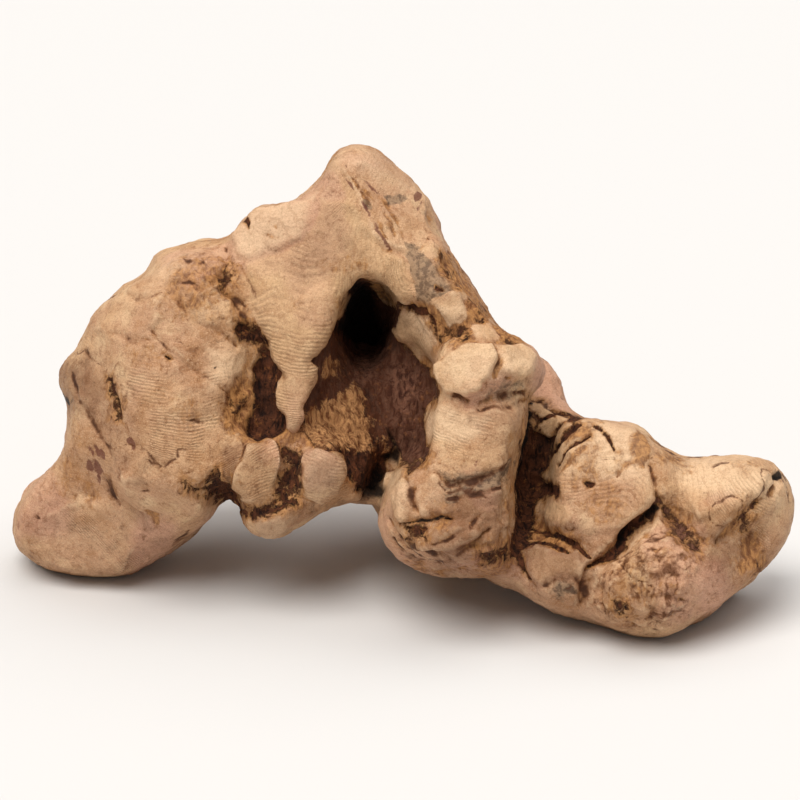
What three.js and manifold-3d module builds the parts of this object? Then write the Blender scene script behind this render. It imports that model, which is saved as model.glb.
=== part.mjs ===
// Oak burl: one knotted growth of oak wood, grown as a single piece and dressed by hand.
// A domed limb ends in a sawn foot on the left, a sanded peak stands over a rotted hollow,
// a knobbly column closes the hollow on its right, and a lumpy limb runs out to the right.
//
// The form is a signed field in millimetres, negative inside the wood. It is laid out in the
// burl's front frame: x to the right, y up the front, z out of the front towards the viewer.
// The front leans back by LEAN, and the last steps stand the burl on the ground, +Z up.
import * as THREE from "three";
import { ImprovedNoise } from "three/addons/math/ImprovedNoise.js";
import { mergeVertices } from "three/addons/utils/BufferGeometryUtils.js";
import Module from "manifold-3d";

// Driving dimensions, in millimetres and degrees
const LEAN = 20; // how far the front leans back from upright
const EYE = { x: -1, y: 90, z: 1100 }; // the eye that sees the front outline true
const CELL = 5.75; // spacing of the lattice that the surface is read on
const GROUND = 9.5; // height of the ground above the front frame's own zero
const CENTRE = [-2, 30]; // X and Y of the middle of the burl's box before it is centred
const CUT_EDGE = 6; // rounding of a hollow's lip
const OUTLINE_EDGE = 6; // rounding where the outline trims the limbs
const OUTLINE_EASE = 0.6; // growth of the outline that makes up for that rounding
// The girdle is where the burl is widest: its depth, how it slants with x, its half-width, how slowly the
// limbs draw in before and behind it, and how far their ridges wander there.
const GIRDLE = { depth: -8, slant: 0.12, width: 12, front: 260, back: 90, sway: 7 };
const LUMP = { height: 2.2, length: 22 }; // slow waviness of the grown surface

const rad = THREE.MathUtils.degToRad;

// A lobe is an ellipsoid: centre, half-sizes, and a turn about z in degrees.
const lobe = (centre, half, turn = 0) => ({
  centre,
  half,
  cos: Math.cos(rad(turn)),
  sin: Math.sin(rad(turn)),
});

// A facet is a sawn or sanded plane through a point; its normal points out of the wood.
const facet = (point, normal, edge = 5) => ({
  point,
  normal: new THREE.Vector3(...normal).normalize().toArray(),
  edge,
});

// Each limb is a bunch of lobes that flow into one another by `flow`, trimmed by its facets.
// It grows out of the limbs before it with a hollow of radius `root`.
const LIMBS = [
  {
    name: "dome",
    root: 0,
    flow: 16,
    lobes: [
      lobe([-90, 98, -10], [46, 50, 44]),
      lobe([-77, 128, -12], [33, 30, 36]),
      lobe([-82, 66, 2], [27, 24, 32]),
    ],
    facets: [facet([-84, 90, 33], [0.12, 0.02, 0.99], 8), facet([-122, 100, 10], [-0.72, 0.1, 0.68], 8)],
  },
  {
    name: "foot",
    root: 16,
    flow: 16,
    lobes: [lobe([-104, 66, -14], [30, 28, 34]), lobe([-120, 46, -32], [40, 31, 34])],
    facets: [facet([-118, 46, 1], [-0.28, -0.05, 0.95], 6)],
  },
  { name: "side bump", root: 5, flow: 4, lobes: [lobe([-125, 98, -18], [12, 12, 16])], facets: [] },
  {
    name: "back",
    root: 12,
    flow: 12,
    lobes: [
      lobe([11, 92, -36], [42, 50, 40]),
      lobe([45, 86, -34], [27, 30, 30]),
      lobe([5, 138, -28], [24, 27, 28]),
      lobe([-70, 92, -36], [36, 31, 32]),
    ],
    facets: [],
  },
  {
    name: "back bosses",
    root: 9,
    flow: 4,
    lobes: [
      lobe([-34, 118, -42], [28, 22, 22], 30),
      lobe([-100, 104, -44], [22, 26, 18]),
      lobe([30, 112, -60], [21, 17, 16], -25),
      lobe([84, 60, -26], [26, 19, 18]),
      lobe([-62, 74, -56], [20, 16, 18]),
      lobe([-2, 80, -68], [15, 19, 13]),
    ],
    facets: [],
  },
  {
    name: "peak and blade",
    root: 5,
    flow: 12,
    lobes: [
      lobe([-22, 142, -5], [43, 38, 42]),
      lobe([-13, 166, -4], [28, 28, 36]),
      lobe([-54, 147, 0], [20, 23, 32]),
      lobe([-38, 118, 12], [20, 24, 24]),
      lobe([-42, 92, 14], [9, 18, 20]),
    ],
    facets: [facet([-30, 145, 27], [-0.28, 0.1, 0.95], 4), facet([-5, 142, 34.7], [0.55, 0.45, 0.8], 4)],
  },
  { name: "bark shoulder", root: 6, flow: 8, lobes: [lobe([22, 124, 8], [21, 37, 32], 38)], facets: [] },
  {
    name: "core behind the hollow",
    root: 8,
    flow: 10,
    lobes: [
      lobe([-28, 84, -16], [40, 27, 30]),
      lobe([-44, 66, 2], [24, 18, 24]),
      lobe([32, 66, -2], [20, 20, 20]),
      lobe([-19, 60, -2], [22, 15, 22]),
    ],
    facets: [],
  },
  { name: "knuckle, left", root: 3, flow: 3, lobes: [lobe([-57, 63, 18], [10, 13, 17])], facets: [] },
  { name: "knuckle, right", root: 3, flow: 3, lobes: [lobe([-31, 63, 22], [11, 13, 17])], facets: [] },
  { name: "chin", root: 4, flow: 3, lobes: [lobe([-46, 47, 12], [19, 16, 20], 15)], facets: [] },
  {
    name: "column",
    root: 5,
    flow: 14,
    lobes: [
      lobe([27, 78, 28], [23, 20, 30]),
      lobe([17, 45, 26], [30, 28, 36]),
      lobe([-1, 52, 34], [8, 13, 16]),
    ],
    facets: [facet([14, 60, 56], [-0.12, 0.12, 0.98], 6), facet([41, 66, 54], [0.93, -0.12, 0.35], 5)],
  },
  {
    name: "column head",
    root: 3,
    flow: 6,
    lobes: [lobe([34, 102, 27], [21, 17, 27]), lobe([24, 101, 40], [14, 13, 19])],
    facets: [facet([24, 101, 56], [-0.05, 0.25, 0.96], 4)],
  },
  {
    name: "right limb",
    root: 5,
    flow: 12,
    lobes: [
      lobe([80, 50, 6], [40, 38, 38]),
      lobe([78, 58, 20], [26, 26, 30]),
      lobe([55, 63, -6], [20, 28, 36]),
      lobe([46, 30, 8], [18, 19, 26]),
    ],
    facets: [facet([78, 55, 45], [-0.1, 0.12, 0.98], 6)],
  },
  { name: "step", root: 3, flow: 4, lobes: [lobe([62, 45, 28], [12, 9, 20])], facets: [] },
  { name: "lower block", root: 4, flow: 4, lobes: [lobe([61, 22, 22], [19, 19, 26])], facets: [] },
  {
    name: "right belly",
    root: 4,
    flow: 12,
    lobes: [lobe([93, 23, 24], [30, 29, 33]), lobe([122, 24, 12], [27, 24, 28], 40)],
    facets: [],
  },
  { name: "neck", root: 5, flow: 6, lobes: [lobe([103, 52, 10], [18, 22, 28])], facets: [] },
  { name: "nose", root: 4, flow: 4, lobes: [lobe([122, 52, 22], [26, 18, 27], 25)], facets: [] },
  { name: "knob", root: 4, flow: 4, lobes: [lobe([139, 44, 10], [16, 25, 25])], facets: [] },
];

// The lump behind the column that the burl rests on at the back.
const BACK_LEG = lobe([20, 51, -44], [28, 31, 31]);

// Hollows taken out of the joined limbs.
const HOLLOWS = [
  lobe([-9, 97, 36], [21, 39, 32], 8),
  lobe([-13, 119, 10], [10, 17, 46], -12),
  lobe([-8, 62, 24], [5, 14, 34], -22),
  lobe([-55, 97, 38], [8, 25, 18], 6),
  lobe([51, 66, 40], [8, 32, 28], -10),
  lobe([88, 40, 54], [17, 4, 15], 35),
  lobe([72, 20, 52], [4, 12, 12], -8),
];

// The outline that the eye sees, clockwise from the top of the dome.
const OUTLINE = [
  [-76, 152], [-88, 148], [-96, 144], [-97, 140], [-109, 132], [-119, 121], [-126, 108], [-131, 104],
  [-132, 98], [-129, 89], [-129, 78], [-132, 67], [-143, 56], [-149, 44], [-149, 34], [-138, 26],
  [-124, 22], [-111, 22], [-98, 27], [-86, 34], [-76, 42], [-70, 52], [-64, 52], [-64, 45], [-57, 37],
  [-51, 34], [-40, 41], [-32, 47], [-17, 51], [-10, 48], [-6, 36], [-1, 27], [11, 23], [30, 21],
  [43, 17], [61, 7], [82, 1], [100, 0], [117, 6], [132, 19], [144, 31], [150, 46], [148, 58],
  [139, 67], [124, 69], [111, 67], [97, 73], [91, 79], [76, 82], [66, 84], [62, 96], [53, 108],
  [46, 111], [36, 119], [30, 129], [23, 138], [15, 152], [10, 165], [-1, 178], [-11, 186],
  [-19, 188], [-26, 184], [-32, 173], [-40, 167], [-46, 165], [-56, 164], [-62, 156], [-68, 151],
];

// Signed distance to an ellipsoid, close to true near its surface.
function lobeDistance(l, x, y, z) {
  const dx = x - l.centre[0];
  const dy = y - l.centre[1];
  const u = l.cos * dx + l.sin * dy;
  const v = l.cos * dy - l.sin * dx;
  const w = z - l.centre[2];
  const [a, b, c] = l.half;
  const near = Math.hypot(u / a, v / b, w / c);
  const steep = Math.hypot(u / (a * a), v / (b * b), w / (c * c));
  return steep < 1e-9 ? -Math.min(a, b, c) : (near * (near - 1)) / steep;
}

const facetDistance = (f, x, y, z) =>
  (x - f.point[0]) * f.normal[0] + (y - f.point[1]) * f.normal[1] + (z - f.point[2]) * f.normal[2];

// Joins two fields with a fillet of about the given radius.
function join(a, b, radius) {
  const overlap = Math.max(radius - Math.abs(a - b), 0);
  return radius ? Math.min(a, b) - (overlap * overlap) / (4 * radius) : Math.min(a, b);
}

const trim = (a, b, radius) => -join(-a, -b, radius);

// Signed distance to a closed outline, negative inside.
function outlineDistance(points, x, y) {
  let nearest = Infinity;
  let inside = false;
  for (let i = 0, j = points.length - 1; i < points.length; j = i++) {
    const [ax, ay] = points[j];
    const [bx, by] = points[i];
    const ex = bx - ax;
    const ey = by - ay;
    const t = THREE.MathUtils.clamp(((x - ax) * ex + (y - ay) * ey) / (ex * ex + ey * ey), 0, 1);
    nearest = Math.min(nearest, Math.hypot(x - ax - t * ex, y - ay - t * ey));
    if (ay > y !== by > y && x < ax + ((y - ay) / ey) * ex) inside = !inside;
  }
  return inside ? -nearest : nearest;
}

const outlineCurve = new THREE.CatmullRomCurve3(
  OUTLINE.map(([x, y]) => new THREE.Vector3(x, y, 0)),
  true,
  "centripetal",
);
const outlinePoints = outlineCurve.getPoints(3 * OUTLINE.length).slice(1).map((p) => [p.x, p.y]);
const noise = new ImprovedNoise();

function limbDistance(limb, x, y, z) {
  let d = Infinity;
  for (const l of limb.lobes) d = join(d, lobeDistance(l, x, y, z), limb.flow);
  for (const f of limb.facets) d = trim(d, facetDistance(f, x, y, z), f.edge);
  return d;
}

// Slow waviness between -1 and 1, with a different pattern for each seed.
const wave = (x, y, z, seed) =>
  noise.noise(x / LUMP.length + seed, y / LUMP.length - seed, z / LUMP.length);

// The whole burl's field in the front frame. The outline holds at the girdle; in front of it and
// behind it the limbs draw in, and their ridges wander.
function burlDistance(x, y, z) {
  let d = Infinity;
  for (const limb of LIMBS) d = join(d, limbDistance(limb, x, y, z), limb.root);
  for (const h of HOLLOWS) d = trim(d, -lobeDistance(h, x, y, z), CUT_EDGE);

  const ahead = z - GIRDLE.depth - GIRDLE.slant * x;
  const beyond = Math.max(Math.abs(ahead) - GIRDLE.width, 0);
  const inset = beyond ** 2 / (ahead > 0 ? GIRDLE.front : GIRDLE.back);
  const loose = Math.min(beyond / 30, 1);
  const spread = EYE.z / (EYE.z - z);
  const outline = (sway) => {
    const across = EYE.x + (x - EYE.x) * spread + sway * wave(x, y, z, 3.3);
    const along = EYE.y + (y - EYE.y) * spread + sway * wave(x, y, z, 8.7);
    return outlineDistance(outlinePoints, across, along) - OUTLINE_EASE;
  };

  d = trim(d, outline(GIRDLE.sway * loose) + inset, OUTLINE_EDGE);
  d = join(d, trim(lobeDistance(BACK_LEG, x, y, z), outline(0), OUTLINE_EDGE), 18);
  return d + LUMP.height * (0.3 + 0.7 * loose) * wave(x, y, z, 0);
}

// Reads a field's zero surface on a lattice: one vertex in each cell that the surface crosses, at the
// mean of its crossings, and two triangles across each lattice edge that it crosses.
function surfaceOf(field, low, high, cell) {
  const count = low.map((a, i) => Math.ceil((high[i] - a) / cell) + 1);
  const [nx, ny, nz] = count;
  const at = (i, j, k) => i + nx * (j + ny * k);
  const place = (axis, i) => low[axis] + i * cell;
  const value = new Float64Array(nx * ny * nz);
  for (let k = 0; k < nz; k++)
    for (let j = 0; j < ny; j++)
      for (let i = 0; i < nx; i++) value[at(i, j, k)] = field(place(0, i), place(1, j), place(2, k));
  separateDiagonals(value, count, at);

  const corner = [0, 1, 2, 3, 4, 5, 6, 7].map((n) => [n & 1, (n >> 1) & 1, n >> 2]);
  const edges = [];
  for (let a = 0; a < 8; a++) for (const bit of [1, 2, 4]) if (!(a & bit)) edges.push([a, a | bit]);
  const vertexOf = new Int32Array(value.length).fill(-1);
  const positions = [];
  for (let k = 0; k < nz - 1; k++)
    for (let j = 0; j < ny - 1; j++)
      for (let i = 0; i < nx - 1; i++) {
        const v = corner.map(([a, b, c]) => value[at(i + a, j + b, k + c)]);
        const sum = [0, 0, 0];
        let crossings = 0;
        for (const [a, b] of edges) {
          if (v[a] < 0 === v[b] < 0) continue;
          const t = v[a] / (v[a] - v[b]);
          for (let axis = 0; axis < 3; axis++)
            sum[axis] += corner[a][axis] + t * (corner[b][axis] - corner[a][axis]);
          crossings++;
        }
        if (!crossings) continue;
        vertexOf[at(i, j, k)] = positions.length / 3;
        positions.push(...[i, j, k].map((n, axis) => low[axis] + (n + sum[axis] / crossings) * cell));
      }

  const triangles = [];
  const quad = (a, b, c, d, flip) => triangles.push(...(flip ? [a, c, b, a, d, c] : [a, b, c, a, c, d]));
  for (let k = 1; k < nz - 1; k++)
    for (let j = 1; j < ny - 1; j++)
      for (let i = 1; i < nx - 1; i++) {
        const here = value[at(i, j, k)] < 0;
        const cells = (p, q) => [at(i, j, k), at(i, j, k) - p, at(i, j, k) - p - q, at(i, j, k) - q];
        const steps = [1, nx, nx * ny];
        for (let axis = 0; axis < 3; axis++) {
          const there = value[at(i, j, k) + steps[axis]] < 0;
          if (here === there) continue;
          const around = cells(steps[(axis + 1) % 3], steps[(axis + 2) % 3]).map((n) => vertexOf[n]);
          quad(...around, !here);
        }
      }
  return new THREE.BufferGeometry()
    .setAttribute("position", new THREE.Float32BufferAttribute(positions, 3))
    .setIndex(triangles);
}

// Where two opposite corners of a lattice square are inside and the other two outside, the nearer
// outside corner is taken in, so that the surface never touches itself along an edge.
function separateDiagonals(value, count, at) {
  const [nx, ny, nz] = count;
  const steps = [1, nx, nx * ny];
  let changed = true;
  while (changed) {
    changed = false;
    for (let k = 0; k < nz - 1; k++)
      for (let j = 0; j < ny - 1; j++)
        for (let i = 0; i < nx - 1; i++)
          for (let axis = 0; axis < 3; axis++) {
            const p = steps[(axis + 1) % 3];
            const q = steps[(axis + 2) % 3];
            const n = at(i, j, k);
            const square = [n, n + p, n + p + q, n + q];
            const inside = square.map((m) => value[m] < 0);
            if (inside[0] !== inside[2] || inside[1] !== inside[3] || inside[0] === inside[1]) continue;
            const outer = inside[0] ? [square[1], square[3]] : [square[0], square[2]];
            const taken = value[outer[0]] < value[outer[1]] ? outer[0] : outer[1];
            value[taken] = -1e-3;
            changed = true;
          }
  }
}

// Draws the vertices evenly over the surface and back onto it, a few times.
function relax(geometry, field, rounds, cell) {
  const position = geometry.getAttribute("position");
  const index = geometry.index.array;
  const probe = 0.05 * cell;
  for (let round = 0; round < rounds; round++) {
    const sum = new Float64Array(position.count * 3);
    const neighbours = new Uint16Array(position.count);
    for (let t = 0; t < index.length; t += 3)
      for (let e = 0; e < 3; e++) {
        const a = index[t + e];
        const b = index[t + ((e + 1) % 3)];
        sum[3 * a] += position.getX(b);
        sum[3 * a + 1] += position.getY(b);
        sum[3 * a + 2] += position.getZ(b);
        neighbours[a]++;
      }
    for (let i = 0; i < position.count; i++) {
      let p = [0, 1, 2].map((axis) => {
        const own = position.array[3 * i + axis];
        return own + 0.5 * (sum[3 * i + axis] / neighbours[i] - own);
      });
      const d = field(...p);
      const slope = [0, 1, 2].map((axis) => {
        const q = [...p];
        q[axis] += probe;
        return (field(...q) - d) / probe;
      });
      const steep = Math.max(slope[0] ** 2 + slope[1] ** 2 + slope[2] ** 2, 0.2);
      const step = THREE.MathUtils.clamp(d / steep, -0.5 * cell, 0.5 * cell);
      p = p.map((c, axis) => c - step * slope[axis]);
      position.setXYZ(i, ...p);
    }
  }
  return geometry;
}

const wasm = await Module();
wasm.setup();

function solidOf(geometry) {
  const bare = geometry.clone();
  bare.deleteAttribute("normal");
  bare.deleteAttribute("uv");
  const merged = mergeVertices(bare);
  return new wasm.Manifold(
    new wasm.Mesh({
      numProp: 3,
      vertProperties: new Float32Array(merged.getAttribute("position").array),
      triVerts: new Uint32Array(merged.index.array),
    }),
  );
}

function geometryOf(solid) {
  const mesh = solid.getMesh();
  return new THREE.BufferGeometry()
    .setAttribute("position", new THREE.BufferAttribute(new Float32Array(mesh.vertProperties), 3))
    .setIndex(new THREE.BufferAttribute(new Uint32Array(mesh.triVerts), 1));
}

const low = [-168, -16, -100];
const high = [168, 204, 84];
const skin = relax(surfaceOf(burlDistance, low, high, CELL), burlDistance, 5, CELL);

// Stands the burl up: the front leans back, the ground is Z = 0, and the box is centred.
const stand = new THREE.Matrix4()
  .makeTranslation(-CENTRE[0], -CENTRE[1], -GROUND)
  .multiply(new THREE.Matrix4().makeRotationX(rad(90 - LEAN)));
skin.applyMatrix4(stand);

// The three low points are worn flat where the burl rests.
const ground = new THREE.BoxGeometry(500, 500, 100).translate(0, 0, -50);
const burlGeometry = geometryOf(solidOf(skin).subtract(solidOf(ground)));
burlGeometry.computeVertexNormals();

const oak = new THREE.MeshStandardMaterial({ color: 0xc79f72, roughness: 0.75, metalness: 0 });
const burl = new THREE.Mesh(burlGeometry, oak);
burl.name = "burl";

const part = new THREE.Group();
part.add(burl);

export default part;
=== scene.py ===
"""Looks of the oak burl: sanded pale wood with ripple marks, and dark bark and rot in its hollows."""

import math

import bpy
import numpy as np
import openvdb
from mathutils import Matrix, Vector
from mathutils.bvhtree import BVHTree


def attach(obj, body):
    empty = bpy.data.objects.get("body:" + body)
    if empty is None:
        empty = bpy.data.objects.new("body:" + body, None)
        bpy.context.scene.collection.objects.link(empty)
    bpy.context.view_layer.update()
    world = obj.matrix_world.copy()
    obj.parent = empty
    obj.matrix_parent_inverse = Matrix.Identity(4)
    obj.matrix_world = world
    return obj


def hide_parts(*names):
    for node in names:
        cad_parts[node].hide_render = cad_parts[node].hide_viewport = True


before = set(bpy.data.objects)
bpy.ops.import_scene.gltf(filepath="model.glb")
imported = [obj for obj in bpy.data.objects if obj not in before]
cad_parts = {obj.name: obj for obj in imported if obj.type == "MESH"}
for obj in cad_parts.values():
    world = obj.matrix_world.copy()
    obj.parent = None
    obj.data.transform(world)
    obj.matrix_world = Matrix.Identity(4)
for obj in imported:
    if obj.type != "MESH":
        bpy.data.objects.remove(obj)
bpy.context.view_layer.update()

# The front frame of the solid, in millimetres: u to the right, v up the front, w out of the front.
LEAN = math.radians(20)
CENTRE = np.array([-2.0, 30.0, 9.5])
UP = np.array([0.0, math.sin(LEAN), math.cos(LEAN)])
OUT = np.array([0.0, -math.cos(LEAN), math.sin(LEAN)])
EYE = np.array([-0.97, 89.9, 1100.0])
UNIT = 0.386  # millimetres at the burl for one unit of the front view that the marks are drawn in
VIEW = 800  # units across the front view
VOXEL = 0.9  # millimetres
BAND = 8  # voxels of the level set to each side of the surface
TRIANGLES = 196000  # in the finished mesh
FLATTEN = 0.8  # how much of the way to a plane an area was sanded
RINGS = 12  # rings of points that marks are carried on past the last point that is seen
FADE = 0.95  # how much of a mark is left in the next ring
KNOB, SMALL_KNOB = 24, 9  # millimetres from one knob of the growth to the next
RIPPLE_GAP = 1.3  # millimetres
AREA_WANDER, STROKE_WANDER = 3, 2.4  # units of the front view that noise moves the edges of marks
FEWEST = 40  # points that an area needs to be sanded flat
RAY_START = 1.2  # millimetres off the surface
HOLLOW = 4  # millimetres below the smoothed surface that count as all hollow


def to_row(front):
    """Front-frame millimetres to metres in the row frame."""
    u, v, w = np.asarray(front, float).T
    return (np.stack([u, 0 * u, 0 * u], -1) + v[..., None] * UP + w[..., None] * OUT - CENTRE) / 1000


def to_front(row):
    q = row * 1000 + CENTRE
    return np.stack([q[:, 0], q @ UP, q @ OUT], 1)


def to_view(row):
    """Where the eye sees a point of the row frame, in units of the front view."""
    u, v, w = to_front(row).T
    spread = EYE[2] / (EYE[2] - w) / UNIT
    return np.stack([VIEW / 2 + (u - EYE[0]) * spread, VIEW / 2 - (v - EYE[1]) * spread], 1)


# Seeded noise in space


def hashed(ix, iy, iz, seed):
    h = (ix * 374761393 + iy * 668265263 + iz * 2147483647 + seed * 1274126177) & 0xFFFFFFFF
    h = ((h ^ (h >> 13)) * 1103515245) & 0xFFFFFFFF
    return ((h ^ (h >> 16)) & 0xFFFFFF) / 0xFFFFFF


def noise(points, size, seed=0):
    """Smooth noise from -1 to 1 at points in millimetres, with lumps of about that size."""
    p = points / size + 100
    base = np.floor(p).astype(np.int64)
    f = p - base
    f = f * f * f * (f * (f * 6 - 15) + 10)
    total = np.zeros(len(points))
    for corner in range(8):
        o = [corner & 1, corner >> 1 & 1, corner >> 2]
        weight = np.prod([f[:, a] if o[a] else 1 - f[:, a] for a in range(3)], 0)
        total += weight * hashed(*(base[:, a] + o[a] for a in range(3)), seed)
    return total * 2 - 1


def rough(points, size, octaves, seed=0):
    return sum(noise(points, size / 2**i, seed + i) / 2**i for i in range(octaves))


def billows(points, size, octaves, seed=0):
    """Rounded swellings with sharp valleys between them, from 0 in the valleys."""
    return sum(np.abs(noise(points, size / 2**i, seed + i)) / 2**i for i in range(octaves))


# The fine mesh


def blur(field, reach, rounds):
    """Averages the field over a cube of 2 * reach + 1 voxels, some rounds."""
    for _ in range(rounds):
        for axis in range(3):
            pad = [(0, 0)] * 3
            pad[axis] = (reach + 1, reach)
            total = np.cumsum(np.pad(field, pad, mode="edge"), axis=axis, dtype=np.float64)
            size = field.shape[axis]
            upper = np.take(total, range(2 * reach + 1, 2 * reach + 1 + size), axis=axis)
            lower = np.take(total, range(size), axis=axis)
            field = ((upper - lower) / (2 * reach + 1)).astype(np.float32)
    return field


def widest(field, reach, pick):
    """The field's largest or smallest value, as pick says, within reach voxels along each axis."""
    for axis in range(3):
        best = field
        for step in range(1, reach + 1):
            for way in (step, -step):
                best = pick(best, np.roll(field, way, axis))
        field = best
    return field


def sampled(field, low, points):
    """The field at points in millimetres, by the eight voxels round each."""
    p = np.clip(points / VOXEL - low, 0, np.array(field.shape) - 1.001)
    base = p.astype(int)
    f = p - base
    total = np.zeros(len(points))
    for corner in range(8):
        o = np.array([corner & 1, corner >> 1 & 1, corner >> 2])
        weight = np.prod(np.where(o, f, 1 - f), 1)
        total += weight * field[tuple((base + o).T)]
    return total


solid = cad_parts["burl"].data
corners = np.empty(len(solid.vertices) * 3, np.float32)
solid.vertices.foreach_get("co", corners)
solid.calc_loop_triangles()
triangles = np.empty(len(solid.loop_triangles) * 3, np.int32)
solid.loop_triangles.foreach_get("vertices", triangles)

transform = openvdb.createLinearTransform(voxelSize=VOXEL)
level = openvdb.FloatGrid.createLevelSetFromPolygons(
    corners.reshape(-1, 3) * 1000, triangles=triangles.reshape(-1, 3), transform=transform, halfWidth=BAND
)
low, high = (np.array(c) for c in level.evalActiveVoxelBoundingBox())
field = np.full(tuple(high - low + 1), level.background, np.float32)
level.copyToArray(field, ijk=tuple(int(c) for c in low))
# Slots and slivers thinner than a few voxels are wood dust and splinters, and go
filled = widest(widest(field, 2, np.minimum), 2, np.maximum)
sound = widest(widest(filled, 1, np.maximum), 1, np.minimum)
smooth = blur(sound, 1, 4)
deep = blur(field, 5, 2)

fine = openvdb.FloatGrid(float(level.background))
fine.transform = transform
fine.copyFromArray(smooth, ijk=tuple(int(c) for c in low))
points, quads = fine.convertToQuads(0.0)
points = np.asarray(points, float)
quads = np.asarray(quads, int)[:, ::-1]


def normals_of(points, quads):
    across = np.cross(points[quads[:, 2]] - points[quads[:, 0]], points[quads[:, 3]] - points[quads[:, 1]])
    total = np.stack(
        [np.bincount(quads.ravel(), np.repeat(across[:, a], 4), len(points)) for a in range(3)], 1
    )
    return total / np.maximum(np.linalg.norm(total, axis=1, keepdims=True), 1e-12)


normals = normals_of(points, quads)
centre = points.mean(0)
if np.mean(np.sum(normals * (points - centre), 1)) < 0:
    quads = quads[:, ::-1]
    normals = -normals

# What the eye sees of it
eye = to_row([EYE])[0] * 1000
to_eye = eye - points
to_eye /= np.linalg.norm(to_eye, axis=1, keepdims=True)
facing = np.sum(normals * to_eye, 1)
tree = BVHTree.FromPolygons(points.tolist(), quads.tolist())
seen = np.zeros(len(points), bool)
for i in np.nonzero(facing > 0.02)[0]:
    start = Vector(points[i] + normals[i] * RAY_START)
    seen[i] = tree.ray_cast(start, Vector(to_eye[i]))[0] is None
view = to_view(points / 1000)
front = to_front(points / 1000)
hollow = np.clip(-sampled(deep, low, points) / HOLLOW, -1, 1)

# Marks, drawn in the front view

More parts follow.
